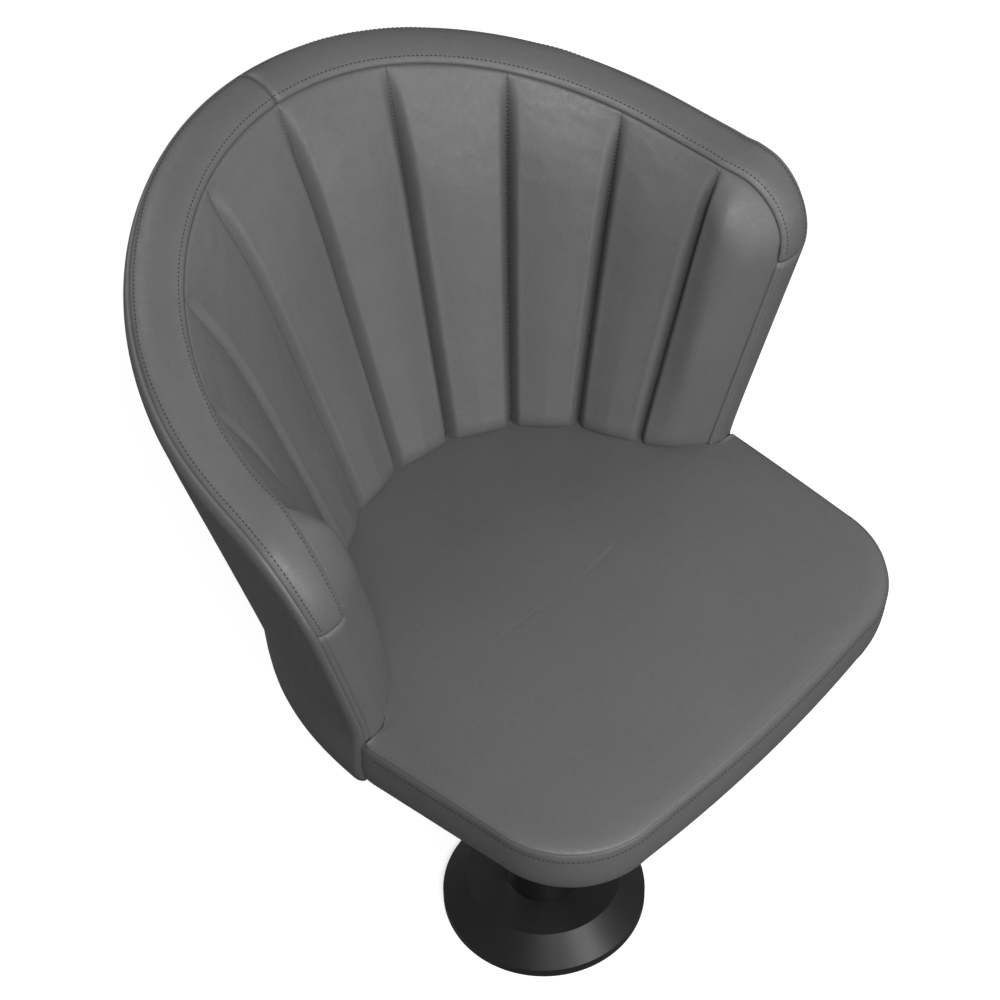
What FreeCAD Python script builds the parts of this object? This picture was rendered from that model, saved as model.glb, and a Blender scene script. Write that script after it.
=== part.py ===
import FreeCAD, Part
import math
import os

# Upholstered tub armchair that swivels on a round floor pedestal.
# Millimetres, +Z up. The origin is the centre of the flange's underside, on the floor.
# The sitter faces -Y, the middle of the back is at +Y, and +X is the sitter's left arm.

# Floor flange and its cone cover
flange_d = 200.0
flange_t = 10.0
anchor_circle_d = 150.0
anchor_hole_d = 11.0
anchor_count = 4
cone_top_d = 152.0
cone_h = 26.0
cone_sheet = 2.0
cone_column_gap = 0.3

# Column and swivel
column_d = 73.0
column_wall = 3.0
column_recess = 4.0
spindle_d = 30.0
spindle_running_gap = 0.05
bush_flange_t = 5.0
upper_bush_l = 45.0
lower_bush_l = 30.0
bush_spacing = 90.0
thrust_washer_t = 3.0
thrust_washer_d = 64.0
end_washer_t = 2.5
end_washer_d = 46.0
circlip_t = 2.0
circlip_d = 37.0
circlip_groove = 1.5
circlip_mouth = 10.0
spindle_tail = 6.0
loose_gap = 0.3
overcut = 1.0

# Seat plate under the seat board
plate_side = 180.0
plate_corner_r = 18.0
plate_t = 5.0
hub_d = 56.0
hub_h = 9.0
plate_bolt_spacing = 140.0
plate_bolt_d = 8.0
plate_bolt_l = 21.0
bolt_head_d = 13.0
bolt_head_h = 5.3
bolt_washer_d = 17.0
bolt_washer_t = 1.6
bolt_hole_gap = 0.25
tee_nut_d = 11.0
tee_nut_l = 11.0
tee_nut_flange_d = 24.0
tee_nut_flange_t = 1.5

# Seat
seat_edge_h = 480.0
seat_crown = 9.0
seat_depth_front = 248.0
seat_front_bow = 7.0
seat_half_w = 240.0
seat_front_half_w = 230.0
seat_corner_r = 90.0
border_h = 56.0
border_draw = 4.0
border_t = 3.0
border_blank_y = 60.0
top_panel_t = 2.0
board_t = 15.0
board_recess = 4.0
board_edge_gap = 0.5
dust_cover_t = 1.0
dust_cover_inset = 10.0
dust_cover_plate_gap = 6.0
soft_gap = 0.3

# Back and arms: one wall round the seat, which flares outward as it rises
seam_count = 4
arm_setback = 1.0
wall_inner_flare = 117.0
wall_axis_shift = 8.0
wall_t_low = 61.0
wall_t_high = 46.0
wall_t_side_high = 36.0
arm_t_low = 26.0
arm_t_high = 46.0
arm_inner_flare = 100.0
flare_rise = 365.0
seam_step_low = 19.9
seam_step_high = 21.3
junction_rise = 5.0
arm_front_y = -16.0
arm_front_lean = 7.0
rim_back_y = 285.0
rim_back_rise = 361.0
rim_side_rise = 262.0
rim_sag = 7.0
rim_corner_r = 60.0

# Layers of the wall, counted from its outer face
cover_t = 6.0
shell_t = 12.0
cover_top_drop = 4.0
layer_gap = 0.5
foam_band_gap = 1.5

# Rim band and arm front strips
band_depth = 14.0
band_crown = 12.0
band_outer_drop = 3.0
strip_crown = 5.0

# Channel pads on the inner face
pad_crown_low = 9.0
pad_crown_high = 15.0
pad_edge_t = 3.0
pad_end_share = 0.35
pad_end_power = 8
pad_side_gap = 0.6
pad_back_gap = 1.0
arm_pad_back_gap = 1.8

# Screws through the shell into the edge of the seat board
shell_screw_d = 5.0
shell_screw_l = 42.0
shell_screw_head_d = 9.5
shell_screw_head_h = 3.0
shell_screw_angles = (20.0, 50.0, 75.0)

# Where sections are drawn: shares of the arm's length, of the round corner and of a pad's height
spans_per_pad = 4
arm_shares = (0.35, 0.65, 0.88)
corner_shares = (0.0, 0.35, 0.7, 1.0)
pad_shares = (0.0, 0.08, 0.3, 0.65, 0.92, 1.0)
rim_tolerance = 1e-6

# Heights that follow from the sizes above
underside_z = seat_edge_h - border_h
board_z = underside_z + board_recess
board_top_z = board_z + board_t
plate_z = board_z - plate_t
hub_z = plate_z - hub_h
bush_top_z = hub_z - thrust_washer_t
column_top_z = bush_top_z - bush_flange_t
upper_bush_z = column_top_z - upper_bush_l
lower_bush_top_z = upper_bush_z - bush_spacing
lower_bush_z = lower_bush_top_z - lower_bush_l
junction_z = seat_edge_h + junction_rise
seat_top_z = seat_edge_h + seat_crown
bolt_hole_d = plate_bolt_d + 2 * bolt_hole_gap
wall_outer_r = seat_half_w - arm_setback
wall_inner_r = wall_outer_r - wall_t_low
arm_outer_x = seat_half_w - arm_setback
arm_inner_x = arm_outer_x - arm_t_low
shell_outer = cover_t + layer_gap
shell_inner = shell_outer + shell_t
band_outer = cover_t + layer_gap


def vec(x, y, z):
    return FreeCAD.Vector(x, y, z)


def cylinder(d, z0, z1, x=0.0, y=0.0):
    """Upright cylinder of diameter d from z0 up to z1."""
    return Part.makeCylinder(d / 2, z1 - z0, vec(x, y, z0))


def tube(d_out, d_in, z0, z1):
    return cylinder(d_out, z0, z1).cut(cylinder(d_in, z0 - overcut, z1 + overcut))


def line(a, b):
    return Part.LineSegment(a, b).toShape()


def arc(a, middle, b):
    return Part.Arc(a, middle, b).toShape()


def mirrored(shape):
    """The same piece on the other side of the chair."""
    return shape.mirror(vec(0, 0, 0), vec(1, 0, 0))


def square_places(spacing):
    half = spacing / 2
    return [(sx * half, sy * half) for sx in (-1, 1) for sy in (-1, 1)]


# Pedestal


def floor_flange():
    body = cylinder(flange_d, 0, flange_t)
    body = body.cut(cylinder(column_d, flange_t - column_recess, flange_t + overcut))
    for i in range(anchor_count):
        turn = math.radians(360.0 * (i + 0.5) / anchor_count)
        x = anchor_circle_d / 2 * math.cos(turn)
        y = anchor_circle_d / 2 * math.sin(turn)
        body = body.cut(cylinder(anchor_hole_d, -overcut, flange_t + overcut, x, y))
    return body


def cone_cover():
    """Sheet cover: a cone from the flange's edge to a flat ring round the column."""
    top_z = flange_t + cone_h
    outer = Part.makeCone(flange_d / 2, cone_top_d / 2, cone_h, vec(0, 0, flange_t))
    slope = math.hypot(cone_h, (flange_d - cone_top_d) / 2) / cone_h
    side = cone_sheet * slope
    inner_h = cone_h - cone_sheet
    drop = (flange_d - cone_top_d) / 2 * inner_h / cone_h
    inner = Part.makeCone(flange_d / 2 - side, flange_d / 2 - side - drop, inner_h, vec(0, 0, flange_t))
    hole = cylinder(column_d + 2 * cone_column_gap, flange_t, top_z + overcut)
    return outer.cut(inner).cut(hole)


def column():
    bore = column_d - 2 * column_wall
    return tube(column_d, bore, flange_t - column_recess, column_top_z)


def upper_bush():
    bore = spindle_d + 2 * spindle_running_gap
    sleeve = cylinder(column_d - 2 * column_wall, upper_bush_z, column_top_z)
    flange = cylinder(column_d, column_top_z, bush_top_z)
    opening = cylinder(bore, upper_bush_z - overcut, bush_top_z + overcut)
    return sleeve.fuse(flange).removeSplitter().cut(opening)


def lower_bush():
    bore = spindle_d + 2 * spindle_running_gap
    return tube(column_d - 2 * column_wall, bore, lower_bush_z, lower_bush_top_z)


# Swivelling parts under the seat

end_washer_z = lower_bush_z - loose_gap - end_washer_t
circlip_z = end_washer_z - circlip_t
spindle_z = circlip_z - spindle_tail


def thrust_washer():
    return tube(thrust_washer_d, spindle_d, bush_top_z, hub_z)


def spindle():
    shaft = cylinder(spindle_d, spindle_z, board_z)
    groove = tube(spindle_d + 2 * overcut, spindle_d - 2 * circlip_groove, circlip_z, circlip_z + circlip_t)
    return shaft.cut(groove)


def end_washer():
    return tube(end_washer_d, spindle_d, end_washer_z, end_washer_z + end_washer_t)


def spindle_circlip():
    ring = tube(circlip_d, spindle_d - 2 * circlip_groove, circlip_z, circlip_z + circlip_t)
    mouth = Part.makeBox(circlip_mouth, circlip_d, circlip_t, vec(-circlip_mouth / 2, 0, circlip_z))
    return ring.cut(mouth)


def seat_plate():
    half = plate_side / 2
    slab = Part.makeBox(plate_side, plate_side, plate_t, vec(-half, -half, plate_z))
    upright = [e for e in slab.Edges if abs(e.tangentAt(e.FirstParameter).z) > 0.9]
    slab = slab.makeFillet(plate_corner_r, upright)
    body = slab.fuse(cylinder(hub_d, hub_z, plate_z)).removeSplitter()
    body = body.cut(cylinder(spindle_d, hub_z - overcut, board_z + overcut))
    for x, y in square_places(plate_bolt_spacing):
        body = body.cut(cylinder(bolt_hole_d, plate_z - overcut, board_z + overcut, x, y))
    return body


def plate_bolt(x, y):
    head_top = plate_z - bolt_washer_t
    corners = [math.radians(60 * i) for i in range(7)]
    reach = bolt_head_d / math.sqrt(3)
    ring = [vec(x + reach * math.cos(a), y + reach * math.sin(a), head_top - bolt_head_h) for a in corners]
    head = Part.Face(Part.makePolygon(ring)).extrude(vec(0, 0, bolt_head_h))
    shank = cylinder(plate_bolt_d, head_top, head_top + plate_bolt_l, x, y)
    return head.fuse(shank).removeSplitter()


def plate_bolts():
    return Part.makeCompound([plate_bolt(x, y) for x, y in square_places(plate_bolt_spacing)])


def plate_washers():
    rings = []
    for x, y in square_places(plate_bolt_spacing):
        ring = cylinder(bolt_washer_d, plate_z - bolt_washer_t, plate_z, x, y)
        rings.append(ring.cut(cylinder(plate_bolt_d, plate_z - plate_t, plate_z + overcut, x, y)))
    return Part.makeCompound(rings)


def tee_nut(x, y):
    """Flanged nut let into the top of the seat board."""
    flange = cylinder(tee_nut_flange_d, board_top_z - tee_nut_flange_t, board_top_z, x, y)
    barrel = cylinder(tee_nut_d, board_top_z - tee_nut_l, board_top_z, x, y)
    body = flange.fuse(barrel).removeSplitter()
    return body.cut(cylinder(plate_bolt_d, board_z - overcut, board_top_z + overcut, x, y))


def tee_nuts():
    return Part.makeCompound([tee_nut(x, y) for x, y in square_places(plate_bolt_spacing)])


# The wall of the back and arms, as points.
# k counts seams from the middle of the back: 0 is the middle seam, seam_count the last one,
# and seam_count + 1 is the front edge of the arm. A negative k is on the other side.
# inset is None on the seam surface inside, or a depth below the outer face.


def grow(low, gain, z):
    """A size that is low at the seat and gains evenly with height above it."""
    return low + gain * max(0.0, z - junction_z) / flare_rise


def front_y(z):
    return arm_front_y - math.tan(math.radians(arm_front_lean)) * (z - junction_z)


def wall_xy(inset, k, z):
    turn = math.radians(grow(seam_step_low, seam_step_high - seam_step_low, z))
    centre_y = -grow(0.0, wall_axis_shift, z)
    radius = grow(wall_inner_r, wall_inner_flare, z)
    front_x = grow(arm_inner_x, arm_inner_flare, z)
    if inset is not None:
        round_share = min(abs(k), seam_count) / seam_count
        t_high = wall_t_high + (wall_t_side_high - wall_t_high) * round_share ** 2
        radius += grow(wall_t_low, t_high - wall_t_low, z) - inset
        front_x += grow(arm_t_low, arm_t_high - arm_t_low, z) - inset
    side = -1.0 if k < 0 else 1.0
    on_arc = min(abs(k), seam_count) * turn
    x = radius * math.sin(on_arc)
    y = centre_y + radius * math.cos(on_arc)
    past = max(0.0, abs(k) - seam_count)
    return side * (x + (front_x - x) * past), y + (front_y(z) - y) * past


def wall_point(inset, k, z):
    x, y = wall_xy(inset, k, z)
    return vec(x, y, z)


def inward(k, z):
    """Unit vector from the outer face towards the sitter."""
    return (wall_point(None, k, z) - wall_point(0.0, k, z)).normalize()


def wall_k_at(inset, y, z):
    """The k between the last seam and the arm's front where the wall passes y."""
    near = wall_xy(inset, seam_count, z)[1]
    far = wall_xy(inset, seam_count + 1, z)[1]
    return seam_count + (near - y) / (near - far)


def mean(a, b):
    return (a + b) * 0.5


# The rim seen from the side, as (y, z): a long hollow arc down from the back, a round corner,
# then the leaning front of the arm. depth is measured inward from it.


def rim_circle():
    """Centre and radius of the long arc, which sags below its chord."""
    back = (rim_back_y, seat_edge_h + rim_back_rise)
    front = (0.0, seat_edge_h + rim_side_rise)
    run, rise = back[0] - front[0], back[1] - front[1]
    chord = math.hypot(run, rise)
    radius = (chord ** 2 / 4 + rim_sag ** 2) / (2 * rim_sag)
    lift = radius - rim_sag
    mid = ((back[0] + front[0]) / 2, (back[1] + front[1]) / 2)
    return (mid[0] - rise / chord * lift, mid[1] + run / chord * lift), radius


def corner_centre():
    """Centre of the arm's round corner, tangent to the long arc and to the front."""
    (cy, cz), radius = rim_circle()
    lean = math.radians(arm_front_lean)
    along = (-math.sin(lean), math.cos(lean))
    start_y = arm_front_y + rim_corner_r * math.cos(lean)
    start_z = junction_z + rim_corner_r * math.sin(lean)
    dy, dz = start_y - cy, start_z - cz
    b = dy * along[0] + dz * along[1]
    c = dy ** 2 + dz ** 2 - (radius + rim_corner_r) ** 2
    reach = -b - math.sqrt(b * b - c)
    return start_y + along[0] * reach, start_z + along[1] * reach


def corner_turn():
    """Angles, from the corner's centre, of its tangent points on the front and on the rim."""
    (cy, cz), _ = rim_circle()
    y, z = corner_centre()
    return math.pi + math.radians(arm_front_lean), math.atan2(cz - z, cy - y)


def rim_z(y, depth):
    """Height of the rim line at y."""
    (cy, cz), radius = rim_circle()
    corner_y, corner_z = corner_centre()
    top_turn = corner_turn()[1]
    round_r = rim_corner_r - depth
    if y < corner_y + round_r * math.cos(top_turn):
        return corner_z + math.sqrt(max(0.0, round_r ** 2 - (y - corner_y) ** 2))
    return cz - math.sqrt((radius + depth) ** 2 - (y - cy) ** 2)


def rim_z_at(k, depth):
    """Height where the rim line crosses the seam surface at k."""
    low, high = junction_z, junction_z + 2 * flare_rise
    while high - low > rim_tolerance:
        z = (low + high) / 2
        if z < rim_z(wall_xy(None, k, z)[1], depth):
            low = z
        else:
            high = z
    return low


def front_corner_yz(turn, depth):
    """Point on the round corner at an angle from its centre."""
    y, z = corner_centre()
    round_r = rim_corner_r - depth
    return y + round_r * math.cos(turn), z + round_r * math.sin(turn)


def front_edge_yz(z, depth):
    """Point on the arm's front edge whose depth is measured square to the edge."""
    lean = math.radians(arm_front_lean)
    return front_y(z) + depth * math.cos(lean), z + depth * math.sin(lean)


def edge_point(inset, yz, side):
    y, z = yz
    x = wall_xy(inset, wall_k_at(inset, y, z), z)[0]
    return vec(side * x, y, z)


# Wall pieces are lofts through upright sections, from the middle of the back to the arm's front


def wall_section(outer, inner, k, low_z, depth):
    """Section at k: up the outer face, over the rim and down the inner face."""
    top_z = rim_z_at(k, depth)
    outer_pts = [wall_point(outer, k, z) for z in (low_z, junction_z, top_z)]
    inner_pts = [wall_point(inner, k, z) for z in (top_z, junction_z, low_z)]
    return Part.makePolygon(outer_pts + inner_pts + [outer_pts[0]])


def wall_end_section(outer, inner, side, low_z, depth):
    """Section on the plane of the arm's front, set back by depth."""
    front_turn = corner_turn()[0]
    top_z = front_corner_yz(front_turn, depth)[1]
    setback = depth / math.cos(math.radians(arm_front_lean))

    def spot(inset, z):
        return edge_point(inset, (front_y(z) + setback, z), side)

    outer_pts = [spot(outer, z) for z in (low_z, junction_z, top_z)]
    inner_pts = [spot(inner, z) for z in (top_z, junction_z, low_z)]
    return Part.makePolygon(outer_pts + inner_pts + [outer_pts[0]])


def arm_ks(depth):
    """Stations on the arm, short of its front."""
    last = wall_k_at(None, front_y(junction_z) + depth, junction_z)
    return [seam_count + (last - seam_count) * share for share in arm_shares]


def arc_ks():
    """Stations round the back."""
    return [i / spans_per_pad for i in range(spans_per_pad * seam_count + 1)]


def wall_half(outer, inner, low_z, depth):
    ks = arc_ks() + arm_ks(depth)
    sections = [wall_section(outer, inner, k, low_z, depth) for k in ks]
    sections.append(wall_end_section(outer, inner, 1, low_z, depth))
    return Part.makeLoft(sections, True, True)


def wall_whole(outer, inner, low_z, depth):
    ks = arc_ks() + arm_ks(depth)
    both = [-k for k in reversed(ks) if k > 0] + ks
    sections = [wall_end_section(outer, inner, -1, low_z, depth)]
    sections += [wall_section(outer, inner, k, low_z, depth) for k in both]
    sections.append(wall_end_section(outer, inner, 1, low_z, depth))
    return Part.makeLoft(sections, True, True)


def outer_cover():
    return wall_half(0.0, cover_t, underside_z, cover_top_drop)


def shell_screw(angle):
    """Countersunk screw through the shell, on a line towards the swivel axis."""
    turn = math.radians(angle)
    out = vec(math.sin(turn), math.cos(turn), 0)
    face = wall_outer_r - shell_outer - layer_gap
    z = board_z + board_t / 2
    tip = out * (face - shell_screw_l) + vec(0, 0, z)
    neck = out * (face - shell_screw_head_h) + vec(0, 0, z)
    shank = Part.makeCylinder(shell_screw_d / 2, shell_screw_l - shell_screw_head_h, tip, out)
    head = Part.makeCone(shell_screw_d / 2, shell_screw_head_d / 2, shell_screw_head_h, neck, out)
    return shank.fuse(head).removeSplitter()


def shell_screws():
    angles = [-a for a in reversed(shell_screw_angles)] + list(shell_screw_angles)
    return Part.makeCompound([shell_screw(a) for a in angles])


def back_shell():
    return wall_whole(shell_outer, shell_inner, board_z, band_depth + layer_gap).cut(shell_screws())


def back_foam():
    return wall_whole(shell_inner + layer_gap, None, board_top_z + soft_gap, band_depth + foam_band_gap)


# Rim band and arm front strips


def band_section(inner_low, inner_top, crown, outer_top, outer_low):
    return Part.Wire([
        line(inner_low, inner_top),
        arc(inner_top, crown, outer_top),
        line(outer_top, outer_low),
        line(outer_low, inner_low),
    ])


def band_section_at(k):
    def spot(inset, depth):
        return wall_point(inset, k, rim_z_at(k, depth))

    crown = mean(spot(None, -band_crown), spot(band_outer, -band_crown))
    return band_section(spot(None, band_depth), spot(None, 0.0), crown,
                        spot(band_outer, band_outer_drop), spot(band_outer, band_depth))


def edge_section(place, crown_h):
    """Band section square to the rim; place(depth) gives its (y, z) there."""
    def spot(inset, depth):
        return edge_point(inset, place(depth), 1)

    crown = mean(spot(None, -crown_h), spot(band_outer, -crown_h))
    return band_section(spot(None, band_depth), spot(None, 0.0), crown,
                        spot(band_outer, band_outer_drop), spot(band_outer, band_depth))


def rim_band():
    front_turn, top_turn = corner_turn()
    sections = [band_section_at(k) for k in arc_ks()]
    for share in corner_shares:
        turn = top_turn + (front_turn - top_turn) * share
        crown = band_crown + (strip_crown - band_crown) * share
        sections.append(edge_section(lambda depth, t=turn: front_corner_yz(t, depth), crown))
    return Part.makeLoft(sections, True, True)


def arm_strip():
    """Padded strip down the front of the arm, from the band to the seat board."""
    top_z = front_corner_yz(corner_turn()[0], 0.0)[1]
    foot_z = board_top_z + soft_gap
    heights = (top_z, (top_z + junction_z) / 2, junction_z, foot_z)
    sections = []
    for z in heights:
        sections.append(edge_section(lambda depth, h=z: front_edge_yz(h, depth), strip_crown))
    upper = Part.makeLoft(sections[:3], True, False)
    lower = Part.makeLoft(sections[2:], True, True)
    return upper.fuse(lower).removeSplitter()


# Channel pads


def pad_wire(k0, k1, share):
    """Section of a pad, across it, at a share of the way from the seat to the rim."""
    middle_k = (k0 + k1) / 2

    def spot(k):
        return wall_point(None, k, pad_foot_z + share * (pad_head_z(k) - pad_foot_z))

    a, b, back = spot(k0), spot(k1), spot(middle_k)
    on_arm = k1 > seam_count
    gap = arm_pad_back_gap if on_arm else pad_back_gap
    across = (b - a).normalize()
    into = inward(middle_k, back.z)
    towards = (into - across * into.dot(across)).normalize()

    def side_way(k, z):
        way = inward(k, z)
        return across * way.dot(across) + towards * way.dot(towards)

    into_a, into_b = side_way(k0, a.z), side_way(k1, b.z)
    a = a + across * (pad_side_gap / 2) + into_a * gap
    b = b - across * (pad_side_gap / 2) + into_b * gap
    bulge = (back - mean(a, b)).dot(towards) + gap
    crown = pad_crown_low + (pad_crown_high - pad_crown_low) * share
    back = mean(a, b) + towards * bulge
    top = back + towards * (pad_edge_t + crown * pad_fullness(share))
    front_a, front_b = a + into_a * pad_edge_t, b + into_b * pad_edge_t
    rear = line(a, b) if on_arm else arc(a, back, b)
    return Part.Wire([rear, line(b, front_b), arc(front_b, top, front_a), line(front_a, a)])


def pad_fullness(share):
    """One along the pad, falling to pad_end_share where it is tucked in at both ends."""
    near_end = abs(2 * share - 1)
    return 1 - (1 - pad_end_share) * near_end ** pad_end_power


def pad_head_z(k):
    if k > seam_count:
        return min(rim_z_at(min(k, arm_ks(0.0)[-1]), 0.0), arm_pad_head_z(k))
    return rim_z_at(k, 0.0)


def arm_pad_head_z(k):
    """The arm's pad stops where the round corner meets the front."""
    corner = front_corner_yz(corner_turn()[0], 0.0)[1]
    seam = rim_z_at(seam_count, 0.0)
    return seam + (corner - seam) * (k - seam_count) ** 2


def channel_pad(k0, k1):
    return Part.makeLoft([pad_wire(k0, k1, share) for share in pad_shares], True, False)


# Seat


def dome(top_z):
    """Very large ball whose top makes the seat's crown."""
    radius = seat_depth_front ** 2 / (2 * seat_crown)
    return Part.makeSphere(radius, vec(0, 0, top_z - radius), vec(0, 1, 0))


def side_x(y, inset):
    """Half width of the seat at y; its sides run straight from the arms to the round corners."""
    corner_y = seat_corner_r - seat_depth_front
    widening = (seat_half_w - seat_front_half_w) / (arm_front_y - corner_y)
    return seat_front_half_w - inset + widening * (y - corner_y)


def seat_outline(z, inset, rear_r, shoulder_x, shoulder_y):
    """Front of the seat between the arms, with a round rear part that reaches into the back."""
    front_side = seat_front_half_w - inset
    front = -(seat_depth_front - inset)
    round_r = seat_corner_r - inset
    corner_x, corner_y = front_side - round_r, front + round_r
    side = side_x(shoulder_y, inset)
    diagonal = round_r * math.sqrt(0.5)
    turn = math.radians(seam_count * seam_step_low)
    rear_x, rear_y = rear_r * math.sin(turn), rear_r * math.cos(turn)

    def p(x, y):
        return vec(x, y, z)

    right = [p(rear_x, rear_y), p(shoulder_x, shoulder_y), p(side, shoulder_y), p(front_side, corner_y)]
    left = [p(-q.x, q.y) for q in right]
    edges = [line(right[i], right[i + 1]) for i in range(3)]
    edges.append(arc(right[3], p(corner_x + diagonal, corner_y - diagonal), p(corner_x, front)))
    edges.append(arc(p(corner_x, front), p(0, front - seat_front_bow), p(-corner_x, front)))
    edges.append(arc(p(-corner_x, front), p(-corner_x - diagonal, corner_y - diagonal), left[3]))
    edges += [line(left[i + 1], left[i]) for i in (2, 1, 0)]
    edges.append(arc(left[0], p(0, rear_r), right[0]))
    return Part.Wire(edges)


def seat_block(inset, low_z, high_z, rear_r, shoulder_x, shoulder_y):
    """Solid between two outlines, drawn in towards the underside by border_draw."""
    def level(z):
        drawn = border_draw * (seat_edge_h - z) / border_h
        return seat_outline(z, inset + drawn, rear_r, shoulder_x, shoulder_y)

    return Part.makeLoft([level(low_z), level(high_z)], True, True)


def cushion_block(inset, low_z, high_z):
    """Block of the cushion, which fills the space between the arms' pads."""
    return seat_block(inset, low_z, high_z, wall_inner_r - soft_gap, arm_inner_x - soft_gap,
                      arm_front_y - strip_crown - soft_gap)


def seat_foam():
    block = cushion_block(border_t, board_top_z, seat_top_z + overcut)
    return block.common(dome(seat_top_z - top_panel_t))


def seat_top_panel():
    block = cushion_block(0.0, underside_z, seat_top_z + overcut)
    panel = block.common(dome(seat_top_z))
    return panel.cut(dome(seat_top_z - top_panel_t))


def front_room(z0, z1, setback):
    """Everything in front of the arms' front plane, less a setback."""
    far = -2 * seat_depth_front
    wide = 2 * seat_half_w
    pts = [vec(-wide, far, z0), vec(-wide, front_y(z0) - setback, z0),
           vec(-wide, front_y(z1) - setback, z1), vec(-wide, far, z1)]
    return Part.Face(Part.makePolygon(pts + [pts[0]])).extrude(vec(2 * wide, 0, 0))


def seat_border():
    """Band round the front and sides of the seat, from one arm to the other."""
    low, high = underside_z, seat_top_z
    under, over = low - overcut, high + overcut
    inner_y = border_blank_y + border_t
    reach = side_x(border_blank_y, border_draw) - border_t
    inner_reach = side_x(inner_y, border_draw + border_t) - border_t
    outer = seat_block(0.0, low, high, wall_inner_r, reach, border_blank_y)
    inner = seat_block(border_t, under, over, wall_inner_r, inner_reach, inner_y)
    band = outer.cut(inner).common(front_room(under, over, soft_gap))
    return band.common(dome(seat_top_z - top_panel_t))


def seat_board():
    inset = border_draw + border_t + board_edge_gap
    rear_r = wall_outer_r - shell_inner - board_edge_gap
    shoulder_x = arm_outer_x - shell_inner - board_edge_gap
    face = Part.Face(seat_outline(board_z, inset, rear_r, shoulder_x, arm_front_y))
    board = face.extrude(vec(0, 0, board_t))
    for x, y in square_places(plate_bolt_spacing):
        board = board.cut(cylinder(bolt_hole_d, board_z - overcut, board_top_z + overcut, x, y))
        board = board.cut(cylinder(tee_nut_d, board_top_z - tee_nut_l, board_top_z + overcut, x, y))
        recess_z = board_top_z - tee_nut_flange_t
        board = board.cut(cylinder(tee_nut_flange_d, recess_z, board_top_z + overcut, x, y))
    return board.cut(shell_screws())


def dust_cover():
    inset = border_draw + border_t + board_edge_gap + dust_cover_inset
    rear_r = wall_outer_r - shell_inner - dust_cover_inset
    shoulder_x = arm_outer_x - shell_inner - dust_cover_inset
    low_z = board_z - dust_cover_t
    face = Part.Face(seat_outline(low_z, inset, rear_r, shoulder_x, arm_front_y))
    sheet = face.extrude(vec(0, 0, dust_cover_t))
    hole = plate_side + 2 * dust_cover_plate_gap
    corner = vec(-hole / 2, -hole / 2, low_z - dust_cover_t)
    return sheet.cut(Part.makeBox(hole, hole, 3 * dust_cover_t, corner))


pad_foot_z = seat_top_z - wall_inner_r ** 2 * seat_crown / seat_depth_front ** 2 + 2 * soft_gap


def all_pieces():
    pieces = {
        "floor_flange": floor_flange(),
        "cone_cover": cone_cover(),
        "column_tube": column(),
        "upper_bush": upper_bush(),
        "lower_bush": lower_bush(),
        "thrust_washer": thrust_washer(),
        "spindle": spindle(),
        "end_washer": end_washer(),
        "spindle_circlip": spindle_circlip(),
        "seat_plate": seat_plate(),
        "plate_bolts": plate_bolts(),
        "plate_washers": plate_washers(),
        "tee_nuts": tee_nuts(),
        "seat_board": seat_board(),
        "dust_cover": dust_cover(),
        "seat_foam": seat_foam(),
        "seat_top_panel": seat_top_panel(),
        "seat_border": seat_border(),
        "back_shell": back_shell(),
        "shell_screws": shell_screws(),
        "back_foam": back_foam(),
    }
    halves = {"outer_cover": outer_cover(), "rim_band": rim_band(), "arm_strip": arm_strip()}
    for name, piece in halves.items():
        pieces[name + "_left"] = piece
        pieces[name + "_right"] = mirrored(piece)
    for i in range(seam_count + 1):
        pad = channel_pad(i, i + 1)
        pieces["channel_pad_left_%d" % (i + 1)] = pad
        pieces["channel_pad_right_%d" % (i + 1)] = mirrored(pad)
    return pieces


os.makedirs("parts", exist_ok=True)
for node, shape in all_pieces().items():
    shape.exportStep("parts/%s.step" % node)
    state = "valid" if shape.isValid() else "NOT VALID"
    print(node, state, len(shape.Solids), round(shape.Volume / 1000, 2))
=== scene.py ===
import math

import bpy
import numpy as np
from mathutils import Matrix, Vector


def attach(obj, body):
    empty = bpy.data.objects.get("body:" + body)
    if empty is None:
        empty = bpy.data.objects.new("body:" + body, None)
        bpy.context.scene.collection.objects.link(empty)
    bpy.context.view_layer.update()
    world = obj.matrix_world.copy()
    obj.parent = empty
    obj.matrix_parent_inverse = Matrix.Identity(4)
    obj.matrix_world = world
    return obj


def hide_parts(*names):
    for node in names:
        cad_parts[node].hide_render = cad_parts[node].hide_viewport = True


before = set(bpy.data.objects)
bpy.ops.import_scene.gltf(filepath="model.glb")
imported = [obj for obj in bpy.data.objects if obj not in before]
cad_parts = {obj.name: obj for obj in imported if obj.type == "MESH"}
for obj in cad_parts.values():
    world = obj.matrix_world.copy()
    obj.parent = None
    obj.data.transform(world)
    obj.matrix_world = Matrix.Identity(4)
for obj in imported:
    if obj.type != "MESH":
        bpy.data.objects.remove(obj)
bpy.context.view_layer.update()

MM = 0.001

# Sizes of the upholstery in millimetres, the same as in the CAD part
SEAT_EDGE_H = 480.0
SEAT_CROWN = 9.0
SEAT_DEPTH = 248.0
SEAT_BOW = 7.0
SEAT_HALF_W = 240.0
SEAT_FRONT_HALF_W = 230.0
SEAT_CORNER_R = 90.0
BORDER_H = 56.0
BORDER_DRAW = 4.0
JUNCTION = SEAT_EDGE_H + 5.0
SEAT_TOP = SEAT_EDGE_H + SEAT_CROWN

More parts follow.
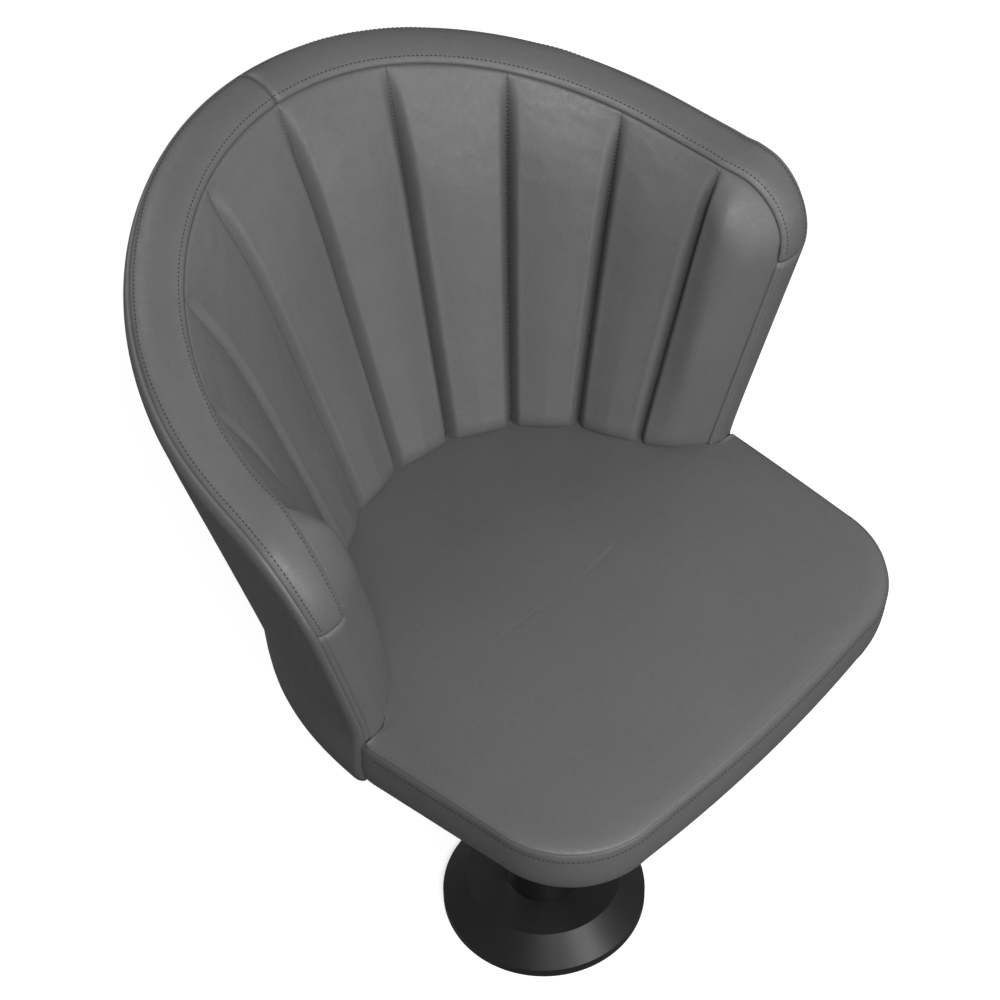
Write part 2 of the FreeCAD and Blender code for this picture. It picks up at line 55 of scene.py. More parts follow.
SEAMS = 4
INNER_R = 178.0
INNER_FLARE = 117.0
AXIS_SHIFT = 8.0
T_LOW = 61.0
T_HIGH = 46.0
T_SIDE_HIGH = 36.0
ARM_T_LOW = 26.0
ARM_X = 213.0
ARM_FLARE = 100.0
FLARE_RISE = 365.0
STEP_LOW = 19.9
STEP_HIGH = 21.3
FRONT_Y = -16.0
FRONT_LEAN = math.radians(7.0)
RIM_BACK = (285.0, SEAT_EDGE_H + 361.0)
RIM_SIDE = (0.0, SEAT_EDGE_H + 262.0)
RIM_SAG = 7.0
CORNER_R = 60.0
STRIP_CROWN = 5.0
SMOOTH_FOOT = 26.0

# Sizes that only the leather has, or that it has otherwise than the CAD part
ARM_T_HIGH = 40.0
LEATHER_DROP = 6.0
UNDERSIDE = SEAT_EDGE_H - BORDER_H - LEATHER_DROP
BEND_SPREAD = 0.95
RIM_FILL = 5.0
RIM_FILL_REACH = 38.0
RIM_FILL_BEHIND = 8.0

PAD_AT_RIM = 3.0
CREASE_FLOOR = 0.4
CREASE_FADE = 42.0
PAD_CROWN = 19.0
PAD_CROWN_GAIN = 6.0
ARM_PAD_EXTRA = 7.0
PAD_FLANK = 15.0
PAD_FLANK_GAIN = 5.0
HEAD_REACH = 120.0
FRONT_ROLL_REACH = 34.0
FOOT_REACH = 20.0

BAND_CROWN = 14.5
BAND_CROWN_SIDE_LOSS = 4.5
BAND_CROWN_ARM_LOSS = 4.0
BAND_DROP = 9.0
BAND_DROP_CORNER = 12.0
BAND_DROP_FRONT = 4.0
BAND_PEAK = 0.45
INNER_SEAM = -PAD_AT_RIM + 0.2
OUTER_SEAM = 7.0
STRIP_GROOVE = 5.2
INNER_STITCH = 7.0
OUTER_STITCH = 6.4

FOOT_ROUND = 4.0
FOOT_ROUND_H = 34.0
COVER_SKIN = 0.0016

SEAT_ROLL = 4.5
SEAT_ROLL_REACH = 26.0
TOP_SKIN = 1.6
ARM_FACE = FRONT_Y - STRIP_CROWN - 1.2

EVEN_LIGHT = 0.184
FLOOR_GLOW = 0.5


def grow(low, gain, z, smooth=False):
    """A size that is low at the seat and gains evenly with height above it."""
    rise = z - JUNCTION
    up = 0.5 * (rise + np.sqrt(rise * rise + SMOOTH_FOOT ** 2)) if smooth else np.maximum(0.0, rise)
    return low + gain * up / FLARE_RISE


def front_y(z):
    return FRONT_Y - math.tan(FRONT_LEAN) * (z - JUNCTION)


def wall(k, z, outer):
    """Points of the wall of back and arms: k counts seams from the middle of the back, and 5 is the
    front edge of the arm. outer is 0 on the seam surface and 1 on the outer face, where the arc
    passes into the straight arm over BEND_SPREAD seams to each side."""
    k, z = np.broadcast_arrays(np.asarray(k, float), np.asarray(z, float))
    smooth = outer > 0
    turn = np.radians(grow(STEP_LOW, STEP_HIGH - STEP_LOW, z))
    centre = -grow(0.0, AXIS_SHIFT, z)
    radius = grow(INNER_R, INNER_FLARE, z, smooth)
    front = grow(ARM_X, ARM_FLARE, z, smooth)
    if outer > 0:
        share = (np.clip(k, 0, SEAMS) / SEAMS) ** 2
        t_high = T_HIGH + (T_SIDE_HIGH - T_HIGH) * share
        radius = radius + outer * grow(T_LOW, t_high - T_LOW, z)
        front = front + outer * grow(ARM_T_LOW, ARM_T_HIGH - ARM_T_LOW, z)
    bend = k - SEAMS
    past = np.maximum(bend, 0.0)
    if outer > 0:
        spread = np.clip(bend + BEND_SPREAD, 0, None) ** 2 / (4 * BEND_SPREAD)
        past = np.where(bend > BEND_SPREAD, bend, spread)
    on_arc = (k - past) * turn
    x, y = radius * np.sin(on_arc), centre + radius * np.cos(on_arc)
    x, y = x + (front - x) * past, y + (front_y(z) - y) * past
    return np.stack([x, y, z], -1)


def k_at(y, z, outer):
    """k on the arm where the wall passes y."""
    low, high = SEAMS - 1.0, SEAMS + 1.0
    for _ in range(40):
        k = (low + high) / 2
        low, high = (k, high) if wall(k, z, outer)[1] > y else (low, k)
    return (low + high) / 2


def rim_circle():
    run, rise = RIM_BACK[0] - RIM_SIDE[0], RIM_BACK[1] - RIM_SIDE[1]
    chord = math.hypot(run, rise)
    radius = (chord ** 2 / 4 + RIM_SAG ** 2) / (2 * RIM_SAG)
    lift = radius - RIM_SAG
    mid = ((RIM_BACK[0] + RIM_SIDE[0]) / 2, (RIM_BACK[1] + RIM_SIDE[1]) / 2)
    return mid[0] - rise / chord * lift, mid[1] + run / chord * lift, radius


RIM_Y, RIM_Z, RIM_R = rim_circle()


def corner_centre():
    along = (-math.sin(FRONT_LEAN), math.cos(FRONT_LEAN))
    start = (FRONT_Y + CORNER_R * math.cos(FRONT_LEAN), JUNCTION + CORNER_R * math.sin(FRONT_LEAN))
    dy, dz = start[0] - RIM_Y, start[1] - RIM_Z
    b = dy * along[0] + dz * along[1]
    c = dy ** 2 + dz ** 2 - (RIM_R + CORNER_R) ** 2
    reach = -b - math.sqrt(b * b - c)
    return start[0] + along[0] * reach, start[1] + along[1] * reach


CORNER_Y, CORNER_Z = corner_centre()
FRONT_TURN = math.pi + FRONT_LEAN
TOP_TURN = math.atan2(RIM_Z - CORNER_Z, RIM_Y - CORNER_Y)
TANGENT_Z = CORNER_Z + CORNER_R * math.sin(FRONT_TURN)


def rim_fill(y):
    """Lift that takes the hollow out of the rim where it meets the arm's round corner."""
    middle = CORNER_Y + CORNER_R * math.cos(TOP_TURN) + RIM_FILL_BEHIND
    return RIM_FILL * np.exp(-((y - middle) / RIM_FILL_REACH) ** 2)


def rim_z(y):
    on_corner = y < CORNER_Y + CORNER_R * math.cos(TOP_TURN)
    corner = CORNER_Z + np.sqrt(np.maximum(0.0, CORNER_R ** 2 - (y - CORNER_Y) ** 2))
    arc = RIM_Z - np.sqrt(RIM_R ** 2 - (y - RIM_Y) ** 2)
    return np.where(on_corner, corner, arc) + rim_fill(y)


def rim_z_at(k):
    k = np.asarray(k, float)
    low, high = np.full(k.shape, JUNCTION), np.full(k.shape, JUNCTION + 2 * FLARE_RISE)
    for _ in range(50):
        z = (low + high) / 2
        under = z < rim_z(wall(k, z, 0)[..., 1])
        low, high = np.where(under, z, low), np.where(under, high, z)
    return low


def rim_distance(y, z):
    """Distance in side view from points inside the wall to its rim, round corner and front edge."""
    front = (y - front_y(z)) * math.cos(FRONT_LEAN)
    z = z - rim_fill(y)
    top = np.hypot(y - RIM_Y, z - RIM_Z) - RIM_R
    dy, dz = y - CORNER_Y, z - CORNER_Z
    angle = np.mod(np.arctan2(dz, dy), 2 * math.pi)
    corner = CORNER_R - np.hypot(dy, dz)
    in_corner = (angle > TOP_TURN) & (angle < FRONT_TURN)
    return np.where(in_corner, corner, np.minimum(front, top))


def soft_step(t):
    t = np.clip(t, 0.0, 1.0)
    return t * t * (3 - 2 * t)


class Edge:
    """The rim from the middle of the back, over the arm's round corner and down its front."""

    def __init__(self, n_arc=81, n_straight=4, n_corner=25, n_front=44):
        ks = np.linspace(0.0, SEAMS, n_arc)
        zs = rim_z_at(ks)
        tops = [(wall(k, z, 0), wall(k, z, 1), k, z) for k, z in zip(ks, zs)]
        self.n_arc = n_arc
        y0, z0 = tops[-1][0][1], tops[-1][0][2]
        y1, z1 = CORNER_Y + CORNER_R * math.cos(TOP_TURN), CORNER_Z + CORNER_R * math.sin(TOP_TURN)
        path = []
        for i in range(1, n_straight):
            y = y0 + (y1 - y0) * i / n_straight
            path.append((y, float(rim_z(y))))
        turns = np.linspace(TOP_TURN, FRONT_TURN, n_corner)
        for t in turns:
            y = CORNER_Y + CORNER_R * math.cos(t)
            path.append((y, CORNER_Z + CORNER_R * math.sin(t) + float(rim_fill(y))))
        self.n_top = n_arc + len(path)
        heights = np.linspace(TANGENT_Z, UNDERSIDE, n_front + 1)[1:]
        path += [(front_y(z), z) for z in heights]
        for y, z in path:
            ki, ko = float(k_at(y, z, 0)), float(k_at(y, z, 1))
            tops.append((wall(ki, z, 0), wall(ko, z, 1), ko, z))
        self.inner = np.array([t[0] for t in tops])
        self.outer = np.array([t[1] for t in tops])
        self.k_outer = np.array([t[2] for t in tops])
        self.z = np.array([t[3] for t in tops])
        self.width = np.linalg.norm(self.outer - self.inner, axis=1)
        self.across = (self.outer - self.inner) / self.width[:, None]
        mid = (self.inner + self.outer) / 2
        tangent = np.gradient(mid, axis=0)
        tangent[0] = (1.0, 0.0, 0.0)
        tangent /= np.linalg.norm(tangent, axis=1)[:, None]
        kk, zz = np.minimum(self.k_outer, SEAMS + 0.98), self.z
        dk = wall(kk + 0.01, zz, 1) - wall(kk - 0.01, zz, 1)
        dz = wall(kk, zz + 1.0, 1) - wall(kk, zz - 1.0, 1)
        normal = np.cross(dz, dk)
        normal /= np.linalg.norm(normal, axis=1)[:, None]
        normal *= np.sign((normal * self.across).sum(1))[:, None]
        up = np.cross(tangent, normal)
        up /= np.linalg.norm(up, axis=1)[:, None]
        for _ in range(6):
            up[1:-1] = (up[:-2] + 2 * up[1:-1] + up[2:]) / 4
            up /= np.linalg.norm(up, axis=1)[:, None]
        self.up = up
        share = np.arange(len(tops), dtype=float)
        over_corner = np.clip((share - n_arc) / (self.n_top - n_arc), 0, 1)
        past_side = np.clip(self.k_outer, 0, SEAMS) / SEAMS
        self.crown = BAND_CROWN - BAND_CROWN_SIDE_LOSS * past_side ** 2
        self.crown = self.crown - BAND_CROWN_ARM_LOSS * soft_step(over_corner)
        self.drop = BAND_DROP + (BAND_DROP_CORNER - BAND_DROP) * soft_step(over_corner * 2)
        self.drop = self.drop - (BAND_DROP_CORNER - BAND_DROP_FRONT) * soft_step(over_corner * 2 - 1)

    def point(self, i, across, up):
        """Points at station i, across mm from the seam surface outward and up mm above the rim."""
        return self.inner[i] + self.across[i] * across + self.up[i] * up

    def roll(self, i, across):
        """Height of the rolled rim above the rim line at a distance across it."""
        width = self.width[i]
        start, peak = -PAD_AT_RIM, BAND_PEAK * width
        crown, drop = self.crown[i], self.drop[i]
        inside = crown * np.sqrt(np.clip(1 - ((peak - across) / (peak - start)) ** 2, 0, 1))
        outside = (crown + drop) * np.sqrt(np.clip(1 - ((across - peak) / (width - peak)) ** 2, 0, 1)) - drop
        return np.where(across < peak, inside, outside)

    def roll_line(self, i, low, high, n):
        """n points (across, height) along the roll, spaced evenly along its curve."""
        fine = low + (high - low) * (1 - np.cos(np.linspace(0, math.pi, 400))) / 2
        heights = self.roll(i, fine)
        run = np.concatenate([[0], np.cumsum(np.hypot(np.diff(fine), np.diff(heights)))])
        at = np.linspace(0, run[-1], n)
        return np.interp(at, run, fine), np.interp(at, run, heights), at


EDGE = Edge()


def lattice_noise(points, size, seed):
    """Smooth noise from -1 to 1 at points, with blobs about size across."""
    p = np.asarray(points, float) / size + 1000.0 + 17.3 * seed
    cell = np.floor(p).astype(np.int64)
    part = p - cell
    part = part * part * (3 - 2 * part)
    total = np.zeros(len(p))
    for corner in range(8):
        bits = np.array([(corner >> j) & 1 for j in range(3)])
        c = cell + bits
        h = (c[:, 0] * 73856093) ^ (c[:, 1] * 19349663) ^ (c[:, 2] * 83492791) ^ (seed * 2654435761)
        h = (h ^ (h >> 13)) * 1274126177 & 0x7FFFFFFF
        value = (h % 20011) / 10005.5 - 1.0
        weight = np.prod(np.where(bits == 1, part, 1 - part), axis=1)
        total += value * weight
    return total


def grid_noise(grid, size, seed):
    return lattice_noise(grid.reshape(-1, 3), size, seed).reshape(grid.shape[:2])


def make_mesh(name, points, faces, body="seat", smooth=True):
    mesh = bpy.data.meshes.new(name)
    corners = [tuple(int(i) for i in f) for f in faces]
    mesh.from_pydata([tuple(p) for p in np.asarray(points) * MM], [], corners)
    mesh.update()
    mesh.validate()
    if smooth:
        mesh.polygons.foreach_set("use_smooth", [True] * len(mesh.polygons))
    obj = bpy.data.objects.new(name, mesh)
    bpy.context.scene.collection.objects.link(obj)
    if body:
        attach(obj, body)
    return obj


def grid_faces(rows, cols, flip=False, start=0):
    out = []
    for i in range(rows - 1):
        for j in range(cols - 1):
            a = start + i * cols + j
            quad = (a, a + 1, a + cols + 1, a + cols)
            out.append(quad[::-1] if flip else quad)
    return out


def mirror_of(obj, name, body="seat"):
    mesh = obj.data.copy()
    mesh.name = name
    xyz = np.empty(len(mesh.vertices) * 3)
    mesh.vertices.foreach_get("co", xyz)
    xyz = xyz.reshape(-1, 3)
    xyz[:, 0] *= -1
    mesh.vertices.foreach_set("co", xyz.ravel())
    mesh.flip_normals()
    mesh.update()
    twin = bpy.data.objects.new(name, mesh)
    bpy.context.scene.collection.objects.link(twin)
    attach(twin, body)
    return twin


def ease(t):
    """Quarter circle from 0 to 1, level at 1."""
    t = np.clip(t, 0.0, 1.0)
    return np.sqrt(1 - (1 - t) ** 2)


def closed_sheet(front, back):
    """Closed body between two grids of points, with the front's faces first."""
    rows, cols = front.shape[:2]
    pts = np.concatenate([front.reshape(-1, 3), back.reshape(-1, 3)])
    n = rows * cols
    faces = grid_faces(rows, cols) + grid_faces(rows, cols, True, n)
    ring = list(range(cols))
    ring += [i * cols + cols - 1 for i in range(1, rows)]
    ring += [(rows - 1) * cols + j for j in range(cols - 2, -1, -1)]
    ring += [i * cols for i in range(rows - 2, 0, -1)]
    for a, b in zip(ring, ring[1:] + ring[:1]):
        faces.append((b, a, a + n, b + n))
    return pts, faces


def stretch_leather(obj, hold, pressure, cap, frames=14):
    """Blow the skin up a little with cloth, held where hold is 1, and keep each point within cap mm."""
    mesh = obj.data
    n = len(mesh.vertices)
    before = np.empty(n * 3)
    mesh.vertices.foreach_get("co", before)
    group = obj.vertex_groups.new(name="held")
    for weight in (1.0, 0.6, 0.3):
        chosen = [int(i) for i in np.flatnonzero(np.abs(hold - weight) < 0.05)]
        if chosen:
            group.add(chosen, weight, "REPLACE")
    cloth = obj.modifiers.new("cloth", "CLOTH")
    settings = cloth.settings
    settings.quality = 4
    settings.mass = 0.4
    settings.tension_stiffness = 20.0
    settings.compression_stiffness = 20.0
    settings.shear_stiffness = 8.0
    settings.bending_stiffness = 1.2
    settings.tension_damping = 12.0
    settings.compression_damping = 12.0
    settings.air_damping = 3.0
    settings.use_pressure = True
    settings.uniform_pressure_force = pressure
    settings.shrink_min = 0.0
    settings.vertex_group_mass = "held"
    settings.effector_weights.gravity = 0.0
    cloth.collision_settings.use_collision = False
    cloth.point_cache.frame_start = 1
    cloth.point_cache.frame_end = frames
    scene = bpy.context.scene
    for frame_number in range(1, frames + 1):
        scene.frame_set(frame_number)
    shape = obj.evaluated_get(bpy.context.evaluated_depsgraph_get()).data
    after = np.empty(n * 3)
    shape.vertices.foreach_get("co", after)
    move = (after - before).reshape(-1, 3)
    size = np.linalg.norm(move, axis=1)
    limit = cap * MM
    move *= (limit * np.tanh(size / limit) / np.maximum(size, 1e-12))[:, None]
    move *= (1 - np.clip(hold, 0, 1))[:, None]
    obj.modifiers.remove(cloth)
    obj.vertex_groups.remove(group)
    mesh.vertices.foreach_set("co", before + move.ravel())
    mesh.update()
    scene.frame_set(1)


def front_grid(obj, rows, cols):
    """The first rows x cols points of a piece, in millimetres."""
    xyz = np.empty(len(obj.data.vertices) * 3)
    obj.data.vertices.foreach_get("co", xyz)
    return xyz.reshape(-1, 3)[:rows * cols].reshape(rows, cols, 3) / MM


def dome_z(xy):
    """Height of the seat's crowned top."""
    return SEAT_TOP - SEAT_CROWN * (xy ** 2).sum(-1) / SEAT_DEPTH ** 2


# Channel pads


def pad_grid(index, rows=110, cols=49):
    """Sitter-facing grid of the pad between seams index and index + 1, before its height is added."""
    u = np.linspace(0, 1, cols)
    u = 0.55 * u + 0.45 * (1 - np.cos(u * math.pi)) / 2
    ks = index + u
    heads = rim_z_at(np.minimum(ks, SEAMS + 0.985))
    if index == SEAMS:
        last = np.clip((ks - SEAMS - 0.93) / 0.07, 0, 1) ** 2
        heads = heads + (TANGENT_Z - heads) * last
    v = np.linspace(0, 1, rows)
    v = 0.6 * v + 0.4 * (1 - np.cos(v * math.pi)) / 2
    foot_xy = wall(ks, np.full(ks.shape, JUNCTION), 0)[:, :2]
    foot = dome_z(foot_xy) - 0.8
    z = foot[None, :] + (heads - foot)[None, :] * v[:, None]
    kk = np.broadcast_to(ks[None, :], z.shape)
    base = wall(kk, z, 0)
    into = base - wall(kk, z, 1)
    into[..., 2] = 0
    into /= np.linalg.norm(into, axis=-1)[..., None]
    width = np.linalg.norm(base[:, -1] - base[:, 0], axis=-1)[:, None]
    return base, into, u[None, :] * width, (1 - u)[None, :] * width, z - foot[None, :]


def crease_depth(edge_d):
    """0 at the rim, where a crease starts level with the pads, and 1 where it is deep."""
    return np.sqrt(soft_step((edge_d - 1.5) / CREASE_FADE))


def swell(distance, reach, power=2.0):
    """Rise from 0 to 1 that is steep at first and level at reach."""
    return 1 - (1 - np.clip(distance / reach, 0, 1)) ** power


def flank(distance, reach):
    """Side of a pad: a steep fold into the crease and a broad round above it."""
    return 0.66 * swell(distance, 0.55 * reach) + 0.34 * swell(distance, 2.4 * reach)


def pad_shape(index):
    """Height of a pad above the seam surface at each point of its grid, with small folds at its seams.
    The pad of the arm is plumper and rolls over to the arm's front edge."""
    base, into, left, right, foot_d = pad_grid(index)
    y, z = base[..., 1], base[..., 2]
    edge_d = np.maximum(rim_distance(y, z), 0.0)
    rise = np.clip((z - JUNCTION) / FLARE_RISE, 0, 1)
    reach = PAD_FLANK + PAD_FLANK_GAIN * rise
    crown = PAD_CROWN + PAD_CROWN_GAIN * rise
    deep = crease_depth(edge_d)
    valley = CREASE_FLOOR * deep + PAD_AT_RIM * (1 - deep)
    if index == SEAMS:
        plump = soft_step((z - JUNCTION) / 120.0)
        crown = crown + (ARM_PAD_EXTRA * plump + 1.0) * soft_step(left / 40.0)
        top = PAD_AT_RIM + (crown - PAD_AT_RIM) * swell(edge_d, FRONT_ROLL_REACH, 2.4)
        height = valley + (top - valley) * flank(left, reach)
        side = np.minimum(left, edge_d + 2.0)
    else:
        side = np.minimum(left, right)
        top = PAD_AT_RIM + (crown - PAD_AT_RIM) * swell(edge_d, HEAD_REACH, 3)
        height = valley + (top - valley) * flank(side, reach)
    height = height * (0.30 + 0.70 * ease(foot_d / FOOT_REACH))
    tuck = ease(edge_d / 1.6 + 0.02)
    height = height - 1.6 * (1 - tuck)
    near = np.exp(-side / 8.0) * deep + 0.5 * np.exp(-edge_d / 7.0) + 0.6 * np.exp(-foot_d / 9.0)
    flat = base + into * height[..., None]
    fold = grid_noise(flat * [1, 1, 0.55], 8.0, 3 + index) * 0.42 + grid_noise(flat, 4.2, 9 + index) * 0.16
    slow = grid_noise(flat, 60.0, 21 + index) * 0.7 + grid_noise(flat, 24.0, 27 + index) * 0.22
    calm = np.minimum(1.0, side / 3.0) * np.minimum(1.0, edge_d / 3.0)
    height = height + (fold * near + slow) * calm
    return base, into, height, side, edge_d, foot_d


def make_pad(index, name):
    """One pad as a closed body, held at its seams and blown up a little in between."""
    base, into, height, side, edge_d, foot_d = pad_shape(index)
    front = base + into * height[..., None]
    back = base + into * np.minimum(height - 1.2, -0.4)[..., None]
    pts, faces = closed_sheet(front[:, ::-1], back[:, ::-1])
    pad = make_mesh(name, pts, faces)
    rows, cols = height.shape
    hold = np.ones(len(pts))
    free = (side[:, ::-1] > 2.0) & (edge_d[:, ::-1] > 3.0) & (foot_d[:, ::-1] > 3.0)
    near = (side[:, ::-1] < 6.0) | (edge_d[:, ::-1] < 8.0)
    hold[:rows * cols] = np.where(free, np.where(near, 0.3, 0.0), 1.0).ravel()
    stretch_leather(pad, hold, pressure=1.0, cap=0.6)
    return pad


# Leather and the other materials


def principled(name, color, rough, metallic=0.0):
    mat = bpy.data.materials.new(name)
    mat.use_nodes = True
    shader = mat.node_tree.nodes["Principled BSDF"]
    shader.inputs["Base Color"].default_value = (*color, 1.0)
    shader.inputs["Roughness"].default_value = rough
    shader.inputs["Metallic"].default_value = metallic
    return mat, mat.node_tree.nodes, mat.node_tree.links, shader


def coords(nodes, links, scale=(1, 1, 1)):
    where = nodes.new("ShaderNodeTexCoord")
    mapping = nodes.new("ShaderNodeMapping")
    mapping.inputs["Scale"].default_value = scale
    links.new(where.outputs["Object"], mapping.inputs["Vector"])
    return mapping.outputs["Vector"]


def texture(nodes, links, vector, kind, scale, detail=2.0, rough=0.5):
    if kind == "noise":
        node = nodes.new("ShaderNodeTexNoise")
        node.inputs["Detail"].default_value = detail
        node.inputs["Roughness"].default_value = rough
        out = node.outputs["Fac"]
    else:
        node = nodes.new("ShaderNodeTexVoronoi")
        node.feature = kind
        out = node.outputs["Distance"]
    node.inputs["Scale"].default_value = scale
    links.new(vector, node.inputs["Vector"])
    return out


def to_range(nodes, links, value, low, high, out_low, out_high):
    node = nodes.new("ShaderNodeMapRange")
    node.inputs["From Min"].default_value = low
    node.inputs["From Max"].default_value = high
    node.inputs["To Min"].default_value = out_low
    node.inputs["To Max"].default_value = out_high
    links.new(value, node.inputs["Value"])
    return node.outputs["Result"]


def color_mix(nodes, links, factor, a, b):
    node = nodes.new("ShaderNodeMix")
    node.data_type = "RGBA"
    node.inputs["A"].default_value = (*a, 1.0)
    node.inputs["B"].default_value = (*b, 1.0)
    links.new(factor, node.inputs["Factor"])
    return node.outputs["Result"]


def bump(nodes, links, shader, heights):
    """Bumps in turn; heights are (value, strength, distance in metres)."""
    last = None
    for value, strength, distance in heights:
        node = nodes.new("ShaderNodeBump")
        node.inputs["Strength"].default_value = strength
        node.inputs["Distance"].default_value = distance
        links.new(value, node.inputs["Height"])
        if last is not None:
            links.new(last, node.inputs["Normal"])
        last = node.outputs["Normal"]
    links.new(last, shader.inputs["Normal"])


def leather(name, tone, rough=0.46):
    mat, nodes, links, shader = principled(name, tone, rough)
    vector = coords(nodes, links)
    cells = texture(nodes, links, vector, "DISTANCE_TO_EDGE", 560.0)
    fine = texture(nodes, links, vector, "noise", 1500.0, 3.0, 0.6)
    slow = texture(nodes, links, vector, "noise", 9.0, 3.0, 0.55)
    mottle = texture(nodes, links, vector, "noise", 170.0, 3.0, 0.6)
    grooves = to_range(nodes, links, cells, 0.0, 0.12, 0.0, 1.0)
    dark = tuple(c * 0.93 for c in tone)
    light = tuple(c * 1.07 for c in tone)
    blend = nodes.new("ShaderNodeMath")
    blend.operation = "ADD"
    links.new(to_range(nodes, links, slow, 0.3, 0.7, 0.0, 0.5), blend.inputs[0])
    links.new(to_range(nodes, links, mottle, 0.3, 0.7, 0.0, 0.5), blend.inputs[1])
    base = color_mix(nodes, links, blend.outputs[0], dark, light)
    shade = nodes.new("ShaderNodeMix")
    shade.data_type = "RGBA"
    shade.blend_type = "MULTIPLY"
    shade.inputs["Factor"].default_value = 1.0
    links.new(base, shade.inputs["A"])
    links.new(to_range(nodes, links, grooves, 0.0, 1.0, 0.86, 1.0), shade.inputs["B"])
    links.new(shade.outputs["Result"], shader.inputs["Base Color"])
    worn = to_range(nodes, links, mottle, 0.25, 0.75, rough + 0.08, rough - 0.06)
    links.new(worn, shader.inputs["Roughness"])
    bump(nodes, links, shader, [(grooves, 0.4, 0.00015), (fine, 0.3, 0.0001), (mottle, 0.25, 0.0005)])
    shader.inputs["Specular IOR Level"].default_value = 0.5
    return mat


def fine_grained(name, color, rough, metallic=0.0, scale=700.0, strength=0.15, spread=0.08):
    mat, nodes, links, shader = principled(name, color, rough, metallic)
    vector = coords(nodes, links)
    fine = texture(nodes, links, vector, "noise", scale, 3.0, 0.6)
    slow = texture(nodes, links, vector, "noise", 14.0, 3.0, 0.6)
    dark = tuple(c * (1 - spread) for c in color)
    light = tuple(min(1.0, c * (1 + spread)) for c in color)
    links.new(color_mix(nodes, links, slow, dark, light), shader.inputs["Base Color"])
    links.new(to_range(nodes, links, slow, 0.3, 0.7, rough - 0.05, rough + 0.05), shader.inputs["Roughness"])
    bump(nodes, links, shader, [(fine, strength, 0.0002)])
    return mat


def plywood(name):
    mat, nodes, links, shader = principled(name, (0.52, 0.36, 0.2), 0.62)
    wave = nodes.new("ShaderNodeTexWave")
    wave.bands_direction = "Z"
    wave.inputs["Scale"].default_value = 105.0
    wave.inputs["Distortion"].default_value = 0.6
    wave.inputs["Detail Scale"].default_value = 3.0
    links.new(coords(nodes, links), wave.inputs["Vector"])
    grain = texture(nodes, links, coords(nodes, links, (1.0, 14.0, 14.0)), "noise", 22.0, 5.0, 0.6)
    blend = nodes.new("ShaderNodeMath")
    blend.operation = "MULTIPLY"
    links.new(wave.outputs["Fac"], blend.inputs[0])
    links.new(grain, blend.inputs[1])
    veneer = color_mix(nodes, links, blend.outputs[0], (0.36, 0.22, 0.11), (0.66, 0.49, 0.3))
    links.new(veneer, shader.inputs["Base Color"])
    bump(nodes, links, shader, [(grain, 0.2, 0.0003)])
    return mat


def foam_material(name):
    mat, nodes, links, shader = principled(name, (0.72, 0.66, 0.46), 0.95)
    vector = coords(nodes, links)
    cells = texture(nodes, links, vector, "F1", 650.0)
    slow = texture(nodes, links, vector, "noise", 20.0)
    tint = color_mix(nodes, links, slow, (0.66, 0.58, 0.38), (0.78, 0.73, 0.55))
    links.new(tint, shader.inputs["Base Color"])
    bump(nodes, links, shader, [(cells, 0.6, 0.0006)])
    return mat


def lining_material(name):
    mat, nodes, links, shader = principled(name, (0.018, 0.018, 0.019), 0.9)
    fibres = texture(nodes, links, coords(nodes, links, (1.0, 0.25, 1.0)), "noise", 1300.0, 4.0, 0.7)
    spots = texture(nodes, links, coords(nodes, links), "F1", 420.0)
    tint = color_mix(nodes, links, fibres, (0.012, 0.012, 0.013), (0.032, 0.032, 0.034))
    links.new(tint, shader.inputs["Base Color"])
    bump(nodes, links, shader, [(fibres, 0.4, 0.0003), (spots, 0.3, 0.0003)])
    return mat


LEATHER_TONE = (0.118, 0.118, 0.122)
mat_leather = leather("seat_leather", LEATHER_TONE)
mat_thread = fine_grained("dark_thread", (0.022, 0.022, 0.024), 0.8, scale=3000.0, strength=0.4)
mat_pale_thread = fine_grained("grey_thread", (0.15, 0.15, 0.155), 0.7, scale=3000.0, strength=0.4)
mat_black_steel = fine_grained("black_powder_coat", (0.010, 0.010, 0.0105), 0.42, scale=1800.0, strength=0.25)
mat_black_cover = fine_grained("black_satin_cover", (0.012, 0.012, 0.0125), 0.38, scale=2200.0, strength=0.12)
mat_bush = fine_grained("natural_nylon", (0.62, 0.60, 0.54), 0.5, scale=900.0, strength=0.1)
mat_bright = fine_grained("ground_steel", (0.58, 0.58, 0.59), 0.28, 1.0, scale=1500.0, strength=0.1)
mat_zinc = fine_grained("zinc_plate", (0.55, 0.56, 0.58), 0.36, 1.0, scale=500.0, strength=0.15, spread=0.15)
mat_spring = fine_grained("black_spring_steel", (0.06, 0.06, 0.065), 0.4, 1.0, scale=900.0, strength=0.15)
mat_plywood = plywood("birch_plywood")
mat_foam = foam_material("cut_foam")
mat_lining = lining_material("black_lining")


def wear(obj, mat):
    obj.data.materials.clear()
    obj.data.materials.append(mat)
    return obj


